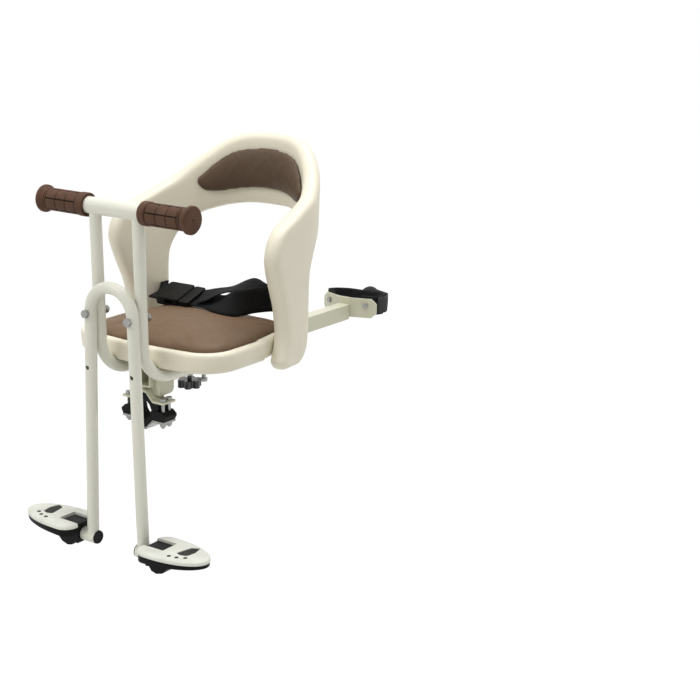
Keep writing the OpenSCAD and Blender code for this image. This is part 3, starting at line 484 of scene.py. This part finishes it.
def dress_grip(name):
    """The grooves between the grip's blocks get a darker rubber: painted shade for the shade that
    falls in them.
    """
    bar_low, bar_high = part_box("handle_bar")
    bar_y, bar_z = (bar_low.y + bar_high.y) / 2, (bar_low.z + bar_high.z) / 2
    grip = dress(name)
    grip.data.materials.append(GRIP_GROOVE_PAINTED_SHADE)
    low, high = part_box(name)
    middle = (low.x + high.x) / 2
    for face in grip.data.polygons:
        c = face.center
        deep = math.hypot(c.y - bar_y, c.z - bar_z) < GROOVE_RADIUS
        if deep and abs(c.x - middle) < GROOVED_REACH and abs(face.normal.x) < END_FACING:
            face.material_index = 1


def sole_studs(name, side):
    """Three round rubber studs set in the recesses of a pedal cover."""
    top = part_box("pedal_cover_" + name)[1].z
    bm = bmesh.new()
    for x, y in STUDS:
        place = Matrix.Translation((side * x * MM, y * MM, top + STUD_LIFT * MM))
        bmesh.ops.create_cone(bm, cap_ends=True, segments=24, radius1=STUD_FOOT_R * MM,
                              radius2=STUD_TOP_R * MM, depth=STUD_TALL * MM, matrix=place)
    finish_piece(bm, "sole_studs_" + name, "pedal_" + name, INSERT)


for node_name in ("handle_bar", "frame_tube_left", "frame_tube_right", "footrest_arch"):
    dress(node_name, crease_deg=TUBE_CREASE_DEG)
for node_name, edge_round in EDGE_ROUND_MM.items():
    dress(node_name, edge_round)
dress("star_knob", KNOB_EDGE_MM, finish=KNOB)
dress_grip("grip_left")
dress_grip("grip_right")
for node_name in ("pedal_cover_left", "pedal_cover_right"):
    dress(node_name, crease_deg=COVER_CREASE_DEG)
sole_studs("left", 1)
sole_studs("right", -1)


# Shell and pan

JOIN_FACES_DEG = 25
JOIN_SHAPE_DEG = 60
RELAX = 0.25
PAN_CREASE_DEG = 35


def smooth_moulding(name, rounds, crease_deg):
    """The faceted moulding relaxed a little, so its swept facets run into each other."""
    bm = merged_copy(name)
    bmesh.ops.join_triangles(bm, faces=bm.faces,
                             angle_face_threshold=math.radians(JOIN_FACES_DEG),
                             angle_shape_threshold=math.radians(JOIN_SHAPE_DEG),
                             cmp_seam=False, cmp_sharp=False, cmp_uvs=False, cmp_vcols=False,
                             cmp_materials=False)
    for _ in range(rounds):
        bmesh.ops.smooth_vert(bm, verts=bm.verts, factor=RELAX, use_axis_x=True,
                              use_axis_y=True, use_axis_z=True)
    slot = slot_of_node[name]
    piece = finish_piece(bm, name + "_moulding", body_of_node[name], SLOT_FINISH[slot],
                         crease_deg)
    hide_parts(name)
    return piece


shell = smooth_moulding("seat_shell", 1, None)
round_off = shell.modifiers.new("round_off", "SUBSURF")
round_off.levels = round_off.render_levels = 1
smooth_moulding("seat_pan", 0, PAN_CREASE_DEG)


# Padding. The cushion is held at its foot in the pan, the back pad where it meets the shell.

CUSHION_VOXEL, CUSHION_SHRINK = 0.004, 0.992
CUSHION_RIM_Z = 0.094
CUSHION_HELD_ABOVE_FOOT = 0.004
CUSHION_RIM_GIVE, CUSHION_CROWN_GIVE = 0.0005, 0.004

BACK_VOXEL, BACK_SHRINK = 0.0028, 0.996
BACK_HELD_OFF_SHELL = 0.002
BACK_EDGE_GIVE, BACK_CROWN_GIVE, BACK_CROWN_OFF_SHELL = 0.0003, 0.003, 0.012

EVEN_PASSES = 5
STUFFING_PRESSURE = 3.0
STUFFING_QUALITY = 5
STUFFING_FRAMES = 20
RIPPLE_SCALE, RIPPLE_HEIGHT = 22, 0.00012


def swell(pad, rest, reach, held):
    """Blows the pad up as cloth. held(co) tells which points stay on what carries the pad, and
    reach(co) how far the rest may move."""
    group = pad.vertex_groups.new(name="held")
    group.add([i for i, co in enumerate(rest) if held(co)], 1.0, "REPLACE")
    cloth = pad.modifiers.new("stuffing", "CLOTH")
    cloth.settings.quality = STUFFING_QUALITY
    cloth.settings.use_pressure = True
    cloth.settings.uniform_pressure_force = STUFFING_PRESSURE
    cloth.settings.vertex_group_mass = "held"
    cloth.settings.effector_weights.gravity = 0
    for step in range(1, STUFFING_FRAMES + 1):
        scene.frame_set(step)
    depsgraph = bpy.context.evaluated_depsgraph_get()
    swollen = [v.co.copy() for v in pad.evaluated_get(depsgraph).data.vertices]
    pad.modifiers.remove(cloth)
    scene.frame_set(1)
    for v, start, end in zip(pad.data.vertices, rest, swollen):
        move = end - start
        far = reach(start)
        if move.length > far:
            move = move * (far / move.length)
        v.co = start + move
    pad.vertex_groups.clear()


def plump(name, piece_name, finish, voxel, shrink, reach, held):
    """The pad's solid again as an even skin, swollen like stuffed leathercloth."""
    bm = merged_copy(name)
    middle = sum((v.co for v in bm.verts), Vector()) / len(bm.verts)
    for v in bm.verts:
        v.co = middle + (v.co - middle) * shrink
    pad = finish_piece(bm, piece_name, body_of_node[name], finish, None)
    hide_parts(name)
    skin = pad.modifiers.new("skin", "REMESH")
    skin.mode = "VOXEL"
    skin.voxel_size = voxel
    skin.use_smooth_shade = True
    apply_stack(pad)
    even = bmesh.new()
    even.from_mesh(pad.data)
    for _ in range(EVEN_PASSES):
        bmesh.ops.smooth_vert(even, verts=even.verts, factor=0.5, use_axis_x=True,
                              use_axis_y=True, use_axis_z=True)
    even.to_mesh(pad.data)
    even.free()
    swell(pad, [v.co.copy() for v in pad.data.vertices], reach, held)
    for v in pad.data.vertices:
        ripple = noise.fractal(v.co * RIPPLE_SCALE, 0.6, 2.0, 2)
        v.co += v.normal * ripple * RIPPLE_HEIGHT
    pad.data.polygons.foreach_set("use_smooth", [True] * len(pad.data.polygons))
    smooth = pad.modifiers.new("smooth", "SUBSURF")
    smooth.levels = smooth.render_levels = 1
    return pad


cushion_low, cushion_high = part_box("seat_cushion")


def cushion_reach(co):
    rise = (co.z - CUSHION_RIM_Z) / (cushion_high.z - CUSHION_RIM_Z)
    return CUSHION_RIM_GIVE + CUSHION_CROWN_GIVE * max(0.0, min(1.0, rise))


def cushion_held(co):
    return co.z < cushion_low.z + CUSHION_HELD_ABOVE_FOOT


shell_bm = merged_copy("seat_shell")
shell_tree = BVHTree.FromBMesh(shell_bm)
shell_bm.free()


def off_shell(co):
    return shell_tree.find_nearest(co)[3]


def back_reach(co):
    return BACK_EDGE_GIVE + BACK_CROWN_GIVE * min(1.0, off_shell(co) / BACK_CROWN_OFF_SHELL)


def back_held(co):
    return off_shell(co) < BACK_HELD_OFF_SHELL


cushion = plump("seat_cushion", "seat_cushion_pad", LEATHER, CUSHION_VOXEL, CUSHION_SHRINK,
                cushion_reach, cushion_held)
back_pad = plump("back_pad", "back_pad_cushion", LEATHER_IN_PAINTED_SHADE, BACK_VOXEL, BACK_SHRINK,
                 back_reach, back_held)


# Straps. A route's points are x, y, z, roll in degrees and width, in millimetres.

STEPS_PER_POINT = 8
STRIPS_ACROSS = 6
CUP = 0.5
BELT_THICK, BELT_W, TAB_W = 1.7, 36, 17
LOOP_THICK, LOOP_W = 2.6, 30
END_THICK, END_W = 1.6, 26

# The tongue draws the belt out between these two places.
SLACK = ((-26, 134, 121), (60, 134, 121))

BELT_LEFT = (
    (-38, 134, 121, 70, BELT_W), (-18, 134, 121, 70, BELT_W), (0, 134, 121, 70, BELT_W),
    (24, 124, 124, 50, BELT_W), (46, 120, 127, 24, BELT_W), (58, 131, 129, 4, BELT_W),
    (62, 150, 129, 0, BELT_W), (74, 172, 129, 0, BELT_W), (90, 182, 129, 0, BELT_W),
    (104, 177, 129, 0, BELT_W), (111.36, 162, 129, 0, BELT_W), (114.69, 146, 129, 0, BELT_W))
BELT_TAIL = (
    (-22, 134.0, 124.3, 71, BELT_W), (-13, 136.8, 126.9, 75, BELT_W),
    (-2, 142, 131.5, 82, BELT_W), (14, 149, 137, 88, BELT_W), (32, 154, 143, 76, BELT_W),
    (46, 157, 143, 50, BELT_W), (57, 160, 137, 16, BELT_W), (65.5, 165.5, 132, 3, BELT_W),
    (71.9, 173.9, 129.5, 0, BELT_W))
BELT_RIGHT = (
    (-83, 134, 121, -70, BELT_W), (-92, 134, 121, -70, BELT_W), (-97, 134, 121, -70, BELT_W),
    (-104, 142, 121, -45, 27), (-112.19, 153, 121, -7, TAB_W), (-111.0, 168, 121, -2, TAB_W))
POST_LOOP = (
    (-25, 471.6, 58, 0, LOOP_W), (-35, 475.6, 58, 0, LOOP_W), (-43, 480.5, 58, 0, LOOP_W),
    (-44, 491, 57, 0, LOOP_W), (-40, 507, 55, 6, LOOP_W), (-29, 522, 53, 12, LOOP_W),
    (-12, 531, 51, 16, LOOP_W), (8, 532, 51, 16, LOOP_W), (26, 526, 53, 12, LOOP_W),
    (39, 514, 55, 6, LOOP_W), (47, 500, 57, 0, LOOP_W), (48, 488, 58, 0, LOOP_W),
    (43, 481, 58, 0, LOOP_W), (35, 475.6, 58, 0, LOOP_W), (25, 471.6, 58, 0, LOOP_W))
POST_END = (
    (-9, 534.2, 53, 20, 24), (-2, 536.5, 60, 24, END_W), (7, 536.5, 57, 16, END_W),
    (26, 531.5, 56, 10, END_W), (43, 519, 58, 4, END_W), (53, 503, 59, 0, END_W),
    (54, 491, 59, 0, END_W), (49.5, 483, 59, 0, END_W))


def spline(a, b, c, d, t):
    """A smooth curve from b to c, t of the way along."""
    return [0.5 * (2 * q + (r - p) * t + (2 * p - 5 * q + 4 * r - s) * t * t
                   + (3 * q - p - 3 * r + s) * t ** 3) for p, q, r, s in zip(a, b, c, d)]


def route_point(route, u):
    last = len(route) - 1
    i = min(int(u), last - 1)
    return spline(route[max(i - 1, 0)], route[i], route[i + 1], route[min(i + 2, last)], u - i)


def strap_piece(name, route, node, finish, thick, slack=None):
    """Webbing along the route of its CAD node. When slack is given the piece is taken off its body
    and baked where it lies; the places in slack are not used."""
    steps = (len(route) - 1) * STEPS_PER_POINT
    line = [route_point(route, i / STEPS_PER_POINT) for i in range(steps + 1)]
    length = [0.0]
    for a, b in zip(line, line[1:]):
        length.append(length[-1] + (Vector(b[:3]) - Vector(a[:3])).length)
    bm = bmesh.new()
    bmesh.ops.create_grid(bm, x_segments=steps, y_segments=STRIPS_ACROSS, size=0.5)
    uv = bm.loops.layers.uv.new("strap")
    flat = {}
    for v in bm.verts:
        i = round((v.co.x + 0.5) * steps)
        across = v.co.y
        x, y, z, roll_deg, width = line[i]
        before, after = line[max(i - 1, 0)][:3], line[min(i + 1, steps)][:3]
        ahead = (Vector(after) - Vector(before)).normalized()
        level = Vector((-ahead.y, ahead.x, 0)).normalized()
        up = ahead.cross(level)
        roll = math.radians(roll_deg)
        wide = up * math.cos(roll) + level * math.sin(roll)
        out = wide.cross(ahead)
        cup = CUP * (1 - (2 * across) ** 2)
        v.co = (Vector((x, y, z)) + wide * across * width + out * cup) * MM
        flat[v] = (length[i] * MM, across * width * MM)
    for face in bm.faces:
        for loop in face.loops:
            loop[uv].uv = flat[loop.vert]
    piece = finish_piece(bm, name, body_of_node[node], finish, None)
    wall = piece.modifiers.new("thickness", "SOLIDIFY")
    wall.thickness = thick * MM
    wall.offset = 0.0
    apply_stack(piece)
    if slack:
        piece.parent = None
        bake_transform(piece)
    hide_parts(node)


strap_piece("lap_belt_left", BELT_LEFT, "belt_left", WEBBING, BELT_THICK, SLACK)
strap_piece("lap_belt_tail", BELT_TAIL, "belt_tail", WEBBING, BELT_THICK, SLACK)
strap_piece("lap_belt_right", BELT_RIGHT, "belt_right", WEBBING, BELT_THICK)
strap_piece("post_strap_loop", POST_LOOP, "rear_strap", WEBBING, LOOP_THICK)
strap_piece("post_strap_end", POST_END, "rear_strap", STRAP_END_GREY_AND_SHEEN, END_THICK)
